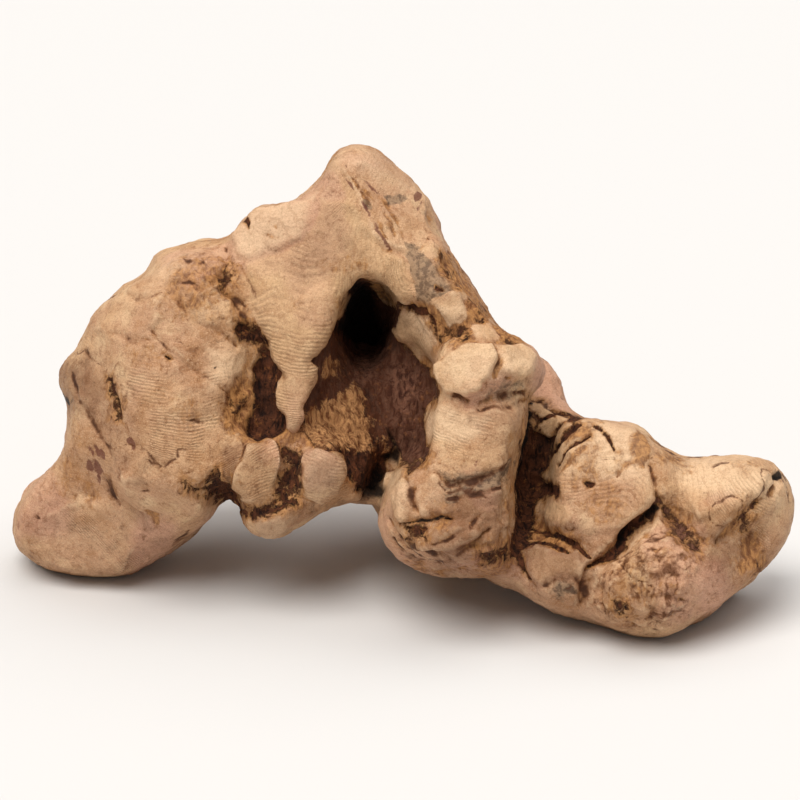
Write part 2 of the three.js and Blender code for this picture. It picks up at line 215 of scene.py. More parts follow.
# Areas: layer, softness of the edge, strength, rise in millimetres, corners as x,y pairs.
# An area of no layer only rises or falls; a pale one is sanded clear of the layers under it.
# Areas of no layer are flat, and pale ones too unless their strength is 1.
AREAS = [
    # Where the ripples of the tool are strong
    ("rasp", 12, 0.8, 0, "150,410 235,412 240,460 225,480 180,490 130,480 150,450"),
    ("rasp", 14, 0.6, 0, "110,360 160,372 215,372 232,410 160,410 120,400"),
    ("rasp", 6, 1, 0, "240,440 278,440 345,455 348,500 230,500"),
    ("rasp", 8, 0.9, 0, "250,290 345,285 348,305 315,350 312,390 298,436 280,405 270,350"),
    ("rasp", 14, 0.7, 0, "250,262 300,240 322,200 350,200 392,255 350,280 300,290"),
    ("rasp", 10, 0.8, 0, "368,258 404,262 412,300 398,302 380,280"),
    ("rasp", 8, 0.7, 0, "395,318 420,316 435,345 418,358"),
    ("rasp", 12, 0.6, 0, "424,408 450,402 500,415 480,460 440,455 426,440"),
    ("rasp", 14, 0.6, 0, "60,510 140,505 180,530 140,575 60,570"),
    ("rasp", 14, 0.5, 0, "560,470 640,470 655,505 600,535 560,520"),
    ("rasp", 14, 0.6, 0, "690,480 760,465 780,500 770,560 720,530"),
    # Where the wood is craggy
    ("rocky", 14, 1, 0, "432,468 470,474 512,460 512,560 470,576 420,572 396,545 402,520 440,505"),
    ("rocky", 10, 1, 0, "484,376 534,370 530,402 500,410 470,404"),
    ("rocky", 14, 0.8, 0, "592,562 640,541 665,518 690,545 700,562 686,590 692,615 660,630 610,624 586,602"),
    ("rocky", 14, 0.9, 0, "515,505 560,512 600,545 590,570 550,560 520,560"),
    ("rocky", 12, 0.7, 0, "640,500 690,500 705,545 690,560 660,530"),
    ("rocky", 16, 0.8, 0, "165,250 228,244 240,300 262,325 255,350 215,330 180,320 155,290"),
    ("rocky", 12, 0.8, 0, "405,300 440,250 500,330 520,346 440,350"),
    ("rocky", 12, 0.8, 0, "222,388 250,372 262,400 300,440 262,446 232,440"),
    ("rocky", 12, 0.7, 0, "232,500 300,497 340,505 262,548"),
    ("rocky", 12, 0.7, 0, "735,505 765,500 772,580 740,580"),
    # Painted shade on undersides and shaded faces, and darker wood; lighter wood, with painted light on lit tops and
    # facets
    ("shade_and_dark_wood", 12, 0.6, 0, "488,402 528,398 518,470 494,470"),
    ("shade_and_dark_wood", 10, 0.5, 0, "466,398 528,392 522,424 470,420"),
    ("shade_and_dark_wood", 14, 0.5, 0, "12,545 20,512 45,490 85,486 85,515 45,545 30,562"),
    ("shade_and_dark_wood", 12, 0.9, 0, "462,470 512,462 510,500 470,505"),
    ("shade_and_dark_wood", 12, 0.9, 0, "465,545 520,530 530,575 470,582"),
    ("shade_and_dark_wood", 12, 0.9, 0, "56,365 90,352 110,395 100,425 64,412"),
    ("shade_and_dark_wood", 20, 0.35, 0, "122,430 180,440 190,480 130,478"),
    ("shade_and_dark_wood", 16, 0.35, 0, "250,215 310,205 325,225 290,262 252,258"),
    ("shade_and_dark_wood", 14, 0.5, 0, "725,525 748,520 752,560 730,565"),
    ("shade_and_dark_wood", 14, 0.35, 0, "16,540 40,495 85,490 90,530 40,555"),
    ("shade_and_dark_wood", 12, 1, 0, "662,506 690,520 704,545 690,556 668,535"),
    ("cream_and_highlight", 12, 0.8, 0, "398,312 470,294 486,332 430,352"),
    ("cream_and_highlight", 12, 0.8, 0, "222,345 246,350 244,378 222,378"),
    ("cream_and_highlight", 16, 0.25, 0, "150,380 232,378 240,455 225,475 150,470"),
    ("cream_and_highlight", 12, 0.8, 0, "203,342 240,350 236,385 205,395"),
    ("cream_and_highlight", 14, 0.35, 0, "55,506 85,497 125,498 148,520 140,548 110,570 70,565 45,545"),
    ("cream_and_highlight", 12, 0.6, 0, "180,300 226,296 232,322 190,335"),
    ("shade_and_dark_wood", 24, 1, 0, "440,498 470,474 512,464 514,552 480,576 440,574 425,545"),
    ("shade_and_dark_wood", 20, 0.5, 0, "470,405 512,410 510,470 480,475"),
    ("shade_and_dark_wood", 24, 0.8, 0, "512,520 575,510 600,545 590,605 545,595 500,575"),
    ("gold", 20, 0.5, 0, "596,566 640,545 664,524 688,548 684,590 660,625 610,620"),
    ("shade_and_dark_wood", 24, 0.4, 0, "610,560 690,560 690,625 620,625 590,600"),
    ("shade_and_dark_wood", 8, 1, 0, "222,450 242,440 236,490 252,508 240,528 220,505"),
    ("shade_and_dark_wood", 18, 0.85, 0, "690,525 735,520 748,560 730,582 700,572"),
    ("shade_and_dark_wood", 26, 0.5, 0, "66,375 110,345 150,400 165,450 110,490 85,470 75,420"),
    ("shade_and_dark_wood", 12, 0.4, 0, "262,320 345,296 312,392 296,436 278,400"),
    ("shade_and_dark_wood", 14, 0.5, 0, "225,440 262,440 280,470 270,500 240,510 228,490"),
    ("shade_and_dark_wood", 12, 0.7, 0, "236,505 300,497 378,500 300,525 262,550"),
    ("shade_and_dark_wood", 14, 0.5, 0, "300,446 345,446 350,500 300,500"),
    ("cream_and_highlight", 10, 0.8, 0, "232,240 250,206 300,200 322,185 300,240 250,262 236,258"),
    ("shade_and_dark_wood", 20, 0.5, 0, "300,220 334,178 350,205 362,255 340,285 300,290 278,268"),
    ("cream_and_highlight", 18, 0.7, 0, "322,175 340,148 372,146 398,170 425,200 400,198 360,178"),
    ("cream_and_highlight", 22, 0.7, 0, "150,262 182,246 205,262 180,290 130,300"),
    ("cream_and_highlight", 14, 0.9, 0, "565,448 600,420 640,424 655,452 645,480 600,482 566,478"),
    ("cream_and_highlight", 16, 0.9, 0, "650,458 700,452 752,450 788,478 784,505 755,500 690,492"),
    ("cream_and_highlight", 10, 0.8, 0, "440,352 492,344 540,352 535,378 490,380 450,390"),
    # The foot and the dome
    ("grey", 14, 0.5, -0.6, "22,545 48,508 80,496 122,496 148,516 146,545 122,574 75,574 35,562"),
    ("pink", 14, 0.8, 0, "130,520 150,512 182,520 178,560 150,572 125,575"),
    ("gold", 18, 0.55, 0, "66,400 82,415 88,440 85,480 75,500 45,500 30,490 55,465 68,440"),
    ("grey", 24, 0.6, -0.8, "90,350 150,350 150,420 135,440 110,440 95,420"),
    ("bark", 7, 0.8, -0.8, "105,378 112,376 116,398 120,412 119,424 111,420 109,402"),
    ("red", 14, 0.5, -0.3, "86,446 100,444 106,466 100,482 90,488 84,474"),
    ("grey", 12, 0.8, -0.6, "138,446 150,452 162,474 152,492 140,490 142,470"),
    ("gold", 26, 0.6, 0, "165,255 205,242 228,246 228,300 246,322 236,346 214,330 196,330 160,320 150,290"),
    ("gold", 20, 0.6, 0, "122,340 170,345 172,368 150,372 124,362"),
    (None, 7, 1, 0.2, "26,545 50,510 80,499 122,499 145,518 143,545 120,572 75,572 38,560"),
    (None, 8, 1, 0.3, "120,470 165,482 195,498 205,506 176,534 152,514 125,492"),
    (None, 10, 1, 1.0, "95,330 130,285 165,290 160,325 120,345"),
    (None, 24, 1, 1.6, "165,345 200,332 235,350 232,385 205,408 172,400"),
    (None, 14, 1, -0.9, "150,415 222,412 235,440 225,470 170,480 148,450"),
    ("gold", 14, 0.7, -0.3, "205,262 228,250 236,280 262,320 272,350 262,362 244,350 232,325 218,300 198,285"),
    ("gold", 14, 1, -0.3, "222,388 250,372 262,400 262,436 240,436 224,420"),
    ("bark", 12, 0.7, -0.8, "212,282 228,262 236,276 228,292 212,296"),
    ("bark", 11, 0.75, -1.2, "236,322 256,322 270,334 268,352 252,352 236,340"),
    ("bark", 10, 0.65, -1.4, "254,344 266,344 274,362 266,376 254,370"),
    ("bark", 14, 0.5, -0.6, "222,392 248,384 256,410 250,432 230,424"),
    ("bark", 8, 1, -2.2, "255,366 260,356 268,350 272,365 282,372 288,378 286,382 276,383 274,395 278,405 287,415 "
        "285,430 270,438 252,432 250,420 255,400 252,385"),
    ("gold", 18, 0.9, -0.6, "222,388 250,360 296,436 330,440 262,446 232,436 220,420"),
    ("bark", 14, 0.7, -1.2, "180,474 200,486 218,468 232,480 240,498 228,512 205,498 182,494"),
    (None, 7, 1, 2.4, "243,443 275,443 280,460 275,490 255,500 238,498 230,488 240,460"),
    ("gold", 10, 1, -0.3, "236,424 290,430 335,438 350,456 325,449 300,447 276,442 246,444"),
    ("grey", 12, 0.9, 0, "300,497 345,496 378,500 345,508 300,514"),
    ("cream_and_highlight", 8, 0.8, 0, "256,514 285,509 300,514 282,538 266,544 252,530"),
    ("cream_and_highlight", 8, 0.6, 0, "303,462 318,447 335,458 343,462 345,474 338,492 322,500 306,494"),
    ("bark", 10, 0.75, -1.4, "236,505 262,502 300,497 304,505 262,516 240,520"),
    ("bark", 11, 0.65, -1.8, "276,444 300,446 304,462 302,480 304,498 280,508 262,508 276,490 282,462"),
    # The peak
    (None, 6, 1, -0.3, "242,262 300,244 322,200 336,170 352,204 368,238 384,254 350,270 335,284 300,290 266,298 "
        "246,284"),
    (None, 6, 1, 1.2, "232,232 250,205 300,200 320,195 300,240 250,262 236,258"),
    (None, 5, 1, 0.9, "342,166 362,164 395,180 425,200 432,240 415,255 392,254 374,238 358,204"),
    ("grey", 22, 0.5, -0.7, "300,255 355,255 395,252 404,268 392,285 372,272 350,284 300,290"),
    ("pink", 14, 0.8, 0, "338,152 358,147 385,160 392,176 360,172 340,168"),
    ("grey", 10, 1.5, -0.5, "402,256 420,246 441,274 452,291 440,302 420,306 409,290"),
    ("gold", 10, 1, -0.4, "434,258 448,250 480,296 530,346 500,346 466,306 442,274"),
    ("bark", 10, 0.5, -0.6, "434,258 438,247 448,258 462,280 478,300 492,332 478,322 462,300 448,285 440,270"),
    # The hollow
    ("bark", 8, 1, 0, "308,362 325,340 345,300 358,277 366,280 374,292 384,306 398,308 397,330 405,345 418,362 "
        "430,372 438,385 440,395 428,405 422,420 423,440 430,455 405,462 398,440 384,468 372,490 358,492 345,470 "
        "342,452 320,445 300,432 303,405 312,385"),
    # Painted shade: the darkest colour at the deep hole
    ("hole_shade", 9, 1, -2, "344,302 352,288 360,281 366,286 372,296 377,312 379,330 376,342 350,342 336,330 344,316"),
    ("gold", 8, 0.9, 0.8, "372,276 384,283 395,296 398,302 385,303 375,295 370,285"),
    ("umber", 20, 1, 0, "384,350 405,352 432,378 432,400 418,415 420,440 430,460 405,462 394,430 380,400"),
    ("umber", 14, 0.8, 0, "344,346 386,346 386,388 350,388"),
    ("umber", 14, 0.7, 0, "380,304 398,308 404,345 384,350"),
    ("umber", 16, 0.6, 0, "312,362 330,345 345,360 350,384 330,396 308,400"),
    ("tan", 10, 0.8, 0.8, "338,392 352,384 364,390 370,410 376,425 375,440 380,454 352,454 338,448 318,444 300,434 "
        "306,412 324,400"),
    ("tan", 8, 0.8, 0.4, "380,436 390,438 392,452 382,454"),
    ("tan", 9, 0.75, 0, "320,358 338,358 342,378 322,380"),
    ("red", 14, 0.5, 0, "345,348 378,348 380,376 346,376"),
    ("hole_shade", 7, 1, -2.5, "391,430 399,437 402,452 398,462 385,462 380,458 390,452 395,445"),
    ("hole_shade", 8, 1, -2.5, "380,462 385,470 381,480 383,492 378,500 362,500 358,492 368,485 372,470"),
    ("pale", 7, 1, 1.6, "262,322 270,340 268,350 272,362 278,372 277,385 275,393 280,405 288,415 288,428 296,434 "
        "300,428 304,415 303,402 310,392 312,380 314,368 308,362 315,350 325,338 330,328 340,318 347,305 345,290 "
        "356,276 374,274 398,302 412,300 404,262 386,254 370,225 350,204 324,200 300,244 246,264 246,286"),
    (None, 6, 1, 2.4, "303,462 318,447 335,458 343,462 345,474 338,492 322,500 306,494"),
    # The shoulder and the column
    ("gold", 14, 0.95, -0.8, "398,305 420,300 445,298 470,290 490,320 520,345 500,345 470,340 445,345 430,352 "
        "436,340 425,330 415,315"),
    ("bark", 12, 0.55, -0.6, "400,304 425,306 440,326 466,318 480,322 476,340 446,342 436,350 430,336 416,314"),
    ("bark", 10, 0.5, -0.5, "464,290 478,296 500,325 530,346 512,348 498,340 480,320"),
    ("pale", 5, 1, 0.8, "395,330 400,317 412,313 420,322 424,330 432,342 436,345 425,355 418,358 410,345 400,340"),
    ("pale", 10, 0.9, 0.8, "432,302 464,292 468,316 446,326"),
    ("pale", 8, 0.9, 0.6, "476,326 490,321 498,334 482,339"),
    ("pale", 6, 0.9, 2.6, "455,350 470,343 488,345 494,358 490,375 480,388 465,394 448,392 440,380 436,365 445,355"),
    ("pale", 6, 0.8, 2.0, "495,345 520,345 535,355 530,375 515,380 498,370"),
    ("grey", 12, 0.95, -1.4, "484,384 504,378 532,372 534,400 506,410 474,408"),
    # Lighter wood, partly painted light on the bright facets of the column
    ("cream_and_highlight", 8, 0.9, 0, "422,412 440,404 468,414 492,420 470,440 440,442 424,434"),
    ("cream_and_highlight", 6, 0.6, 0, "384,472 404,466 413,482 412,503 403,519 391,512 382,496"),
    ("cream_and_highlight", 6, 0.5, 0, "418,486 436,478 454,488 451,506 438,513 421,511 416,500"),
    (None, 10, 1, 1.2, "430,408 455,404 500,408 512,422 506,470 498,498 470,503 440,498 428,470 426,440"),
    ("gold", 12, 0.8, 0, "420,400 440,396 442,412 424,416"),
    ("bark", 10, 0.55, -0.5, "402,446 428,448 432,466 408,478 396,468"),
    ("gold", 12, 0.85, -0.3, "410,442 434,440 442,462 424,472 408,462"),
    ("red", 14, 0.5, 0, "406,446 426,448 426,478 406,478"),
    ("grey", 14, 1.5, -0.9, "440,474 470,478 508,466 510,480 480,496 446,490"),
    ("bark", 12, 0.7, -0.8, "402,522 425,520 428,540 406,544"),
    ("gold", 16, 0.8, -0.6, "428,506 452,506 454,530 430,532"),
    ("grey", 10, 0.7, -0.4, "462,518 476,518 478,546 464,546"),
    (None, 8, 1, 1.6, "412,526 440,522 472,524 486,536 470,548 440,555 415,547"),
    ("gold", 12, 0.6, 0, "500,430 520,428 515,545 500,550"),
    (None, 5, 1, 1.6, "384,472 404,466 414,482 413,505 404,522 391,515 382,498"),
    (None, 5, 1, 1.4, "418,486 436,478 456,489 453,508 438,515 420,513 415,500"),
    ("red", 14, 0.6, 0, "462,548 515,535 522,572 470,582"),
    ("bark", 14, 0.5, -0.3, "470,548 518,532 524,566 478,580"),
    ("pink", 16, 0.7, 0, "400,545 440,560 490,540 540,560 545,590 480,580 420,575"),
    # The right limb
    ("pink", 8, 1, 0, "526,346 545,345 575,380 582,418 560,412 534,392"),
    ("bark", 8, 1, -1.2, "532,398 530,428 538,434 550,440 556,434 552,448 550,456 546,466 540,476 548,484 562,486 "
        "558,496 545,496 538,505 532,512 530,540 522,562 514,560 515,520 516,480 521,450 527,415"),
    ("bark", 6, 0.8, -0.6, "534,396 548,402 566,412 586,419 574,425 556,417 540,408 534,408"),
    ("bark", 8, 0.6, -0.4, "530,396 548,402 572,416 568,428 556,436 545,438 530,430"),
    ("pale", 4, 1, 0.2, "534,404 547,402 552,410 540,416"),
    ("pale", 4, 1, 0.2, "539,426 551,417 559,422 547,433"),
    ("pale", 4, 1, 0.2, "556,414 566,417 562,424 555,420"),
    ("pale", 4, 1, 0.2, "556,436 566,427 574,428 562,442"),
    ("gold", 14, 0.9, -0.4, "562,424 592,424 594,442 566,448"),
    ("gold", 6, 1, 1.4, "629,438 637,431 645,438 650,450 648,462 638,470 632,462 630,450"),
    ("red", 14, 0.55, 0, "510,520 540,525 548,556 530,565 512,562"),
    ("grey", 8, 1.2, -0.8, "553,585 565,580 578,584 580,596 566,603 554,597"),
    ("gold", 18, 0.7, 0, "648,444 690,446 692,472 652,472"),
    (None, 12, 1, 1.2, "572,448 612,452 648,470 655,500 625,530 590,536 566,515 556,490"),
    ("gold", 12, 0.95, -1.2, "530,510 545,522 565,530 585,540 575,550 560,555 545,548 530,540"),
    ("pale", 5, 0.8, 0.6, "542,508 555,500 565,505 572,520 560,526 545,520"),
    ("pale", 8, 0.7, 0.8, "525,550 545,548 585,562 588,580 560,578 545,590 530,575"),
    (None, 8, 1, 0.3, "672,480 704,461 748,459 770,472 758,494 735,503 700,522"),
    ("net", 16, 1, 0, "592,562 640,541 665,518 690,545 700,562 686,590 692,615 660,630 610,624 586,602"),
    ("grey", 14, 0.8, -0.4, "660,595 686,592 688,626 662,628"),
    ("bark", 10, 0.65, -0.6, "614,599 631,600 630,616 616,616"),
    ("pink", 18, 0.9, 0.6, "690,562 722,558 738,585 726,615 698,618 688,590"),
    ("umber", 16, 1, 0, "650,490 680,495 715,540 705,565 680,550 655,520"),
    ("bark", 14, 0.75, -2.2, "660,495 675,505 685,520 695,535 705,540 700,555 690,550 678,535 668,520"),
    # The valley of the right lobe: these bark, umber and gold areas are partly painted shade in the valley
    ("bark", 12, 0.55, -1.4, "735,512 752,504 760,520 752,540 736,538"),
    ("umber", 20, 0.7, 0, "720,500 775,490 775,590 720,590"),
    ("gold", 14, 0.9, -0.6, "733,534 762,534 768,578 738,578"),
    ("bark", 10, 0.5, -0.6, "752,558 770,556 768,580 750,580"),
]

# Strokes: layer, width, strength, depth cut in millimetres, points as x,y pairs
STROKES = [
    # The foot and the dome
    ("hole_shade", 5, 1, 1.5, "63,393 70,402"),
    ("grey", 5, 0.9, 0.9, "72,375 71,384 76,398 84,408 92,420 100,437 108,452 112,465 106,480 113,500 118,507"),
    ("crease", 5, 1, 0.9, "70,374 72,384 78,400 86,410 94,424 101,438 109,452 113,466"),
    ("crease", 4, 0.9, 0.8, "110,462 106,480 110,494 118,508"),
    ("grey", 4, 0.8, 0.5, "84,358 84,370"),
    ("grey", 4, 0.8, 0.5, "80,380 88,400"),
    ("red", 6, 1.2, 0.4, "127,441 134,449"),
    ("red", 3, 1.3, 0.2, "87,448 92,456"),
    ("red", 3, 1.3, 0.2, "93,446 98,456"),
    ("red", 3, 1.3, 0.2, "99,450 104,461"),
    ("red", 3, 1.3, 0.2, "88,461 92,470"),
    ("red", 3, 1.3, 0.2, "95,462 99,473"),
    ("red", 3, 1.2, 0.2, "90,475 93,484"),
    ("red", 3, 1.2, 0.2, "98,476 100,486"),
    ("crease", 3, 0.9, 0.5, "138,446 147,452 155,465 160,474"),
    ("crease", 3, 0.8, 0.4, "141,482 150,482"),
    ("crease", 3, 0.8, 0.4, "142,490 152,491"),
    ("crease", 4, 0.7, 0.3, "69,455 70,465"),
    ("crease", 3, 0.9, 0.3, "35,510 40,520"),
    ("red", 4, 0.6, 0.2, "41,492 44,496"),
    ("gold", 9, 0.9, 0.4, "146,513 153,518 156,528"),
    ("crease", 4, 0.9, 0.8, "172,545 181,539 190,532"),
    ("crease", 4, 0.8, 0.5, "183,475 190,473"),
    ("crease", 4, 0.9, 0.7, "200,485 212,475 218,468"),
    ("crease", 3, 0.9, 0.6, "190,420 205,420 215,418"),
    ("crease", 4, 0.9, 1.2, "245,440 237,465 230,485"),
    ("bark", 9, 0.8, 0.4, "216,492 228,500 240,512"),
    ("hole_shade", 3, 0.9, 0.6, "212,367 214,369"),
    ("bark", 6, 0.7, 0.3, "165,356 171,360"),
    ("crease", 5, 0.65, 0.9, "115,335 135,342 150,340"),
    ("crease", 5, 0.65, 0.9, "152,330 165,345 178,360 204,378 228,392"),
    ("crease", 5, 0.65, 0.9, "108,298 124,294 146,299 162,292"),
    ("crease", 4, 0.9, 0.5, "184,257 192,261"),
    ("crease", 4, 0.8, 0.4, "199,261 205,263"),
    ("crease", 3, 0.9, 0.5, "180,282 200,284"),
    ("crease", 6, 0.85, 0.8, "198,290 212,280 225,270 224,290"),
    ("crease", 4, 0.8, 0.9, "225,245 228,255 222,262"),
    ("crease", 6, 0.9, 1.2, "222,290 238,300 245,305"),
    ("crease", 6, 0.9, 1.2, "232,300 245,318 255,335"),
    ("crease", 5, 0.7, 1.0, "176,300 190,318 214,328 236,346"),
    # The peak
    ("bark", 6, 0.9, 0.5, "277,206 281,208"),
    ("gold", 6, 0.8, 0.2, "270,220 275,228"),
    ("gold", 5, 0.7, 0.2, "262,234 280,238"),
    ("crease", 3, 0.7, 0.3, "263,249 280,249"),
    ("crease", 4, 0.9, 0.4, "334,159 338,157"),
    ("crease", 4, 0.65, 0.4, "347,164 358,182 367,200 371,208"),
    ("red", 4, 0.9, 0.3, "360,168 368,181 376,191 383,196"),
    ("red", 3, 0.85, 0.3, "342,172 354,190 364,206 376,228 390,252"),
    ("gold", 5, 0.8, 0.2, "352,176 364,196 376,218 386,240"),
    ("gold", 5, 0.8, 0.2, "366,190 380,210 394,236"),
    ("gold", 5, 0.7, 0.2, "380,196 394,218 404,240"),
    ("grey", 11, 1.7, 0.4, "386,196 395,200 404,199"),
    ("crease", 3, 0.9, 0.4, "388,197 395,199 402,199"),
    ("grey", 9, 1.5, 0.2, "366,204 372,210"),
    ("red", 5, 1.3, 0.2, "417,195 414,204"),
    ("red", 4, 1.3, 0.2, "419,206 417,214"),
    ("grey", 14, 1.9, 0.2, "408,245 421,249"),
    ("bark", 5, 0.7, 0.3, "432,286 440,292"),
    ("grey", 6, 0.55, 0.2, "297,265 301,280 305,290"),
    ("bark", 5, 0.9, 0.4, "246,218 249,227"),
    ("crease", 5, 0.7, 0.6, "242,268 251,288 260,303"),
    # The hollow, the shoulder and the column
    ("bark", 5, 0.9, 0.8, "398,306 412,308 425,318 433,325"),
    ("gold", 5, 0.9, 0, "385,443 391,448"),
    ("gold", 6, 0.8, 0, "322,360 334,372"),
    ("gold", 4, 0.9, 0.2, "318,388 326,398 318,408"),
    # The dark of the grey and crease strokes under the head is partly painted shade in the crevice they cut, and the
    # gold stroke up the head is painted shade on the side of a ridge
    ("grey", 6, 0.9, 1.6, "455,396 470,402 485,405 500,398 520,395"),
    ("gold", 8, 0.9, 0.8, "495,347 498,362 496,378"),
    ("crease", 7, 0.8, 1.8, "454,395 468,402 486,403 506,398 526,396"),
    ("crease", 6, 1.1, 1.0, "478,409 500,408 524,404"),
    ("grey", 14, 1.9, 0.6, "512,462 500,475 482,484 464,492 448,500"),
    ("crease", 4, 0.9, 1.0, "422,410 420,425 424,440 432,455"),
    ("crease", 5, 0.9, 1.2, "405,475 412,490 412,505 420,515"),
    ("crease", 5, 0.9, 1.0, "385,470 402,465"),
    ("crease", 6, 1, 1.3, "436,476 452,486 470,484 490,476 510,460"),
    ("crease", 5, 1, 1.0, "448,500 466,498 484,494 500,488"),
    ("hole_shade", 2.5, 0.9, 1.6, "398,523 408,522 420,518 432,519 440,515 450,516"),
    ("bark", 6, 0.8, 0.6, "402,527 414,532 428,526"),
    ("crease", 5, 1, 1.5, "388,520 396,536 410,549 430,556 455,552 475,545 490,530"),
    ("crease", 6, 0.9, 1.2, "392,540 402,554 420,562 445,561 470,550 492,545"),
    ("crease", 4, 0.9, 0.8, "430,545 452,538 470,528 482,512"),
    ("gold", 5, 0.7, 0.6, "400,560 440,570 475,568"),
    ("red", 4, 0.9, 0.2, "430,441 434,432"),
    ("red", 4, 0.9, 0.2, "444,456 449,449"),
    ("red", 4, 0.9, 0.2, "470,470 474,463"),
    ("red", 4, 0.8, 0.1, "449,471 451,473"),
    # The right limb
    ("hole_shade", 6, 0.8, 0, "532,402 529,425 524,448 520,475 519,505"),
    ("crease", 4, 0.9, 0.8, "532,395 550,405 565,415 580,419"),
    ("bark", 4, 0.75, 0.4, "590,428 600,430 607,436 611,443 614,452"),
    ("bark", 4, 0.8, 0.4, "550,456 560,446 570,434 580,426"),
    ("bark", 4, 0.8, 0.4, "545,448 554,436 564,424"),
    ("bark", 3.5, 0.8, 0.4, "558,464 568,454 578,443 588,436"),
    ("gold", 5, 1, 0.4, "566,470 574,460 586,446"),
    ("gold", 7, 1, 0.5, "619,475 626,466 634,464 642,468"),
    ("bark", 9, 0.75, 0.4, "583,480 588,484 592,483"),
    ("bark", 6, 0.8, 0.6, "526,524 542,532 560,539 578,547 590,556"),
    ("bark", 5, 0.7, 0.5, "520,545 536,543 552,546 566,552"),
    ("bark", 9, 0.8, 0.5, "514,536 519,552 522,568 530,580"),
    # The valley between the two lumps of the limb: its bark and crease colour are partly painted shade in the valley
    ("bark", 11, 0.75, 3.2, "592,566 600,560 612,552 621,543 632,530 645,522 655,515 664,500"),
    ("hole_shade", 6, 1, 1.2, "642,524 655,515 663,509"),
    ("hole_shade", 7, 1, 1.2, "618,543 623,535 629,530"),
    ("crease", 8, 1, 2.4, "604,557 592,566 588,576 585,590 582,604"),
    ("crease", 4, 0.9, 0.5, "664,505 678,525 696,546"),
    ("crease", 4, 0.9, 0.5, "671,500 686,520 704,540"),
    ("crease", 4, 0.9, 0.5, "660,514 672,532 688,552"),
    # The gold and bark of this valley are partly painted shade in the valley
    ("gold", 12, 0.8, 1.6, "779,484 772,494 760,503 750,512 738,526 718,542"),
    ("bark", 6, 0.6, 0.5, "760,503 750,512 740,524"),
    ("crease", 8, 0.9, 0.8, "545,588 560,580 575,578 582,585"),
    ("crease", 6, 0.9, 1.4, "650,466 655,482 660,497"),
    ("crease", 4, 0.8, 0.5, "656,445 676,456 690,460 704,457"),
    ("hole_shade", 5, 1, 1.8, "775,473 781,479"),
    ("crease", 4, 0.9, 1.6, "778,480 775,490 765,500 752,505 745,515 735,525"),
    ("crease", 3, 0.9, 0.4, "779,516 783,521"),
    ("crease", 3, 0.8, 0.4, "770,515 783,512"),
]


def ramp(x, low, high):
    t = np.clip((x - low) / (high - low), 0, 1)
    return t * t * (3 - 2 * t)


def to_line(at, line):
    """Distance of each point of the view to a broken line, and how far along the line, from 0 to 1."""
    best = np.full(len(at), np.inf)
    share = np.zeros(len(at))
    spans = np.linalg.norm(np.diff(np.array(line, float), axis=0), axis=1)
    passed = 0
    for a, b, span in zip(np.array(line[:-1], float), np.array(line[1:], float), spans):
        along = np.clip((at - a) @ (b - a) / max(span**2, 1e-9), 0, 1)
        away = np.linalg.norm(at - a - along[:, None] * (b - a), axis=1)
        share = np.where(away < best, (passed + along * span) / spans.sum(), share)
        best = np.minimum(best, away)
        passed += span
    return best, share


def within(at, corners):
    inside = np.zeros(len(at), bool)
    for (ax, ay), (bx, by) in zip(corners, corners[1:] + corners[:1]):
        if ay != by:
            crosses = (ay > at[:, 1]) != (by > at[:, 1])
            inside ^= crosses & (at[:, 0] < ax + (at[:, 1] - ay) / (by - ay) * (bx - ax))
    return inside


starts, ends = np.concatenate([quads[:, [a, (a + 1) % 4]] for a in range(4)]).T


def round_about(values):
    """The sum of a value over the neighbours of each point."""
    total = np.bincount(starts, values[ends], len(values))
    return total + np.bincount(ends, values[starts], len(values))


def spread_out(values, rounds):
    """Averages a value of the points with that of their neighbours, some rounds."""
    count = round_about(np.ones(len(values)))
    for _ in range(rounds):
        values = (values + round_about(values) / count) / 2
    return values


def carry_on(values, known, rounds):
    """Gives unknown points the average of their known neighbours, a ring of points further each round."""
    for _ in range(rounds):
        count = round_about(known.astype(float))
        fresh = ~known & (count > 0)
        for value in values:
            value[fresh] = FADE * round_about(value * known)[fresh] / count[fresh]
        known = known | fresh


def off_plane(points, normals):
    """How far points stand out of the plane that fits them, on the side of their normals."""
    centre = points.mean(0)
    axis = np.linalg.svd(points[:: max(1, len(points) // 2000)] - centre, full_matrices=False)[2][2]
    axis *= np.sign(axis @ normals.mean(0))
    return (points - centre) @ axis * ramp(normals @ axis, 0.5, 0.85)


def cells(points, size, seed):
    """Distances to the nearest two of scattered seeds about that far apart, in shares of the size."""
    p = points / size + 100
    base = np.floor(p).astype(np.int64)
    first = np.full(len(points), 9.0)
    second = np.full(len(points), 9.0)
    for step in np.ndindex(3, 3, 3):
        cell = base + np.array(step) - 1
        spot = np.stack([hashed(*cell.T, seed + a) for a in range(3)], 1)
        away = np.linalg.norm(p - cell - spot, axis=1)
        second = np.minimum(second, np.maximum(first, away))
        first = np.minimum(first, away)
    return first, second


# Layers that the material shows, and layers that only shape the wood
SHOWN = ("bark", "gold", "grey", "red", "hole_shade", "tan", "pink", "pale", "crease", "shade_and_dark_wood", "cream_and_highlight", "umber")
SHAPING = ("net", "rasp", "rocky")
layers = {name: np.zeros(len(points)) for name in SHOWN + SHAPING}
height = np.zeros(len(points))
near_seen = ramp(spread_out(seen.astype(float), 6), 0.35, 0.95)
seen = spread_out(seen.astype(float), 4) > 0.08
open_face = near_seen * ramp(spread_out(facing, 6), 0.1, 0.45)
wander = np.stack([rough(points, 9, 4, 11), rough(points, 9, 4, 12)], 1)


def traced(marked):
    """The points of a line or an outline that is written as x,y pairs."""
    return [tuple(int(c) for c in pair.split(",")) for pair in marked.split()]


def close_to(line, margin):
    """The seen points within a margin of the box round a line of the view."""
    reach = np.array(line)
    return seen & np.all(view > reach.min(0) - margin, 1) & np.all(view < reach.max(0) + margin, 1)


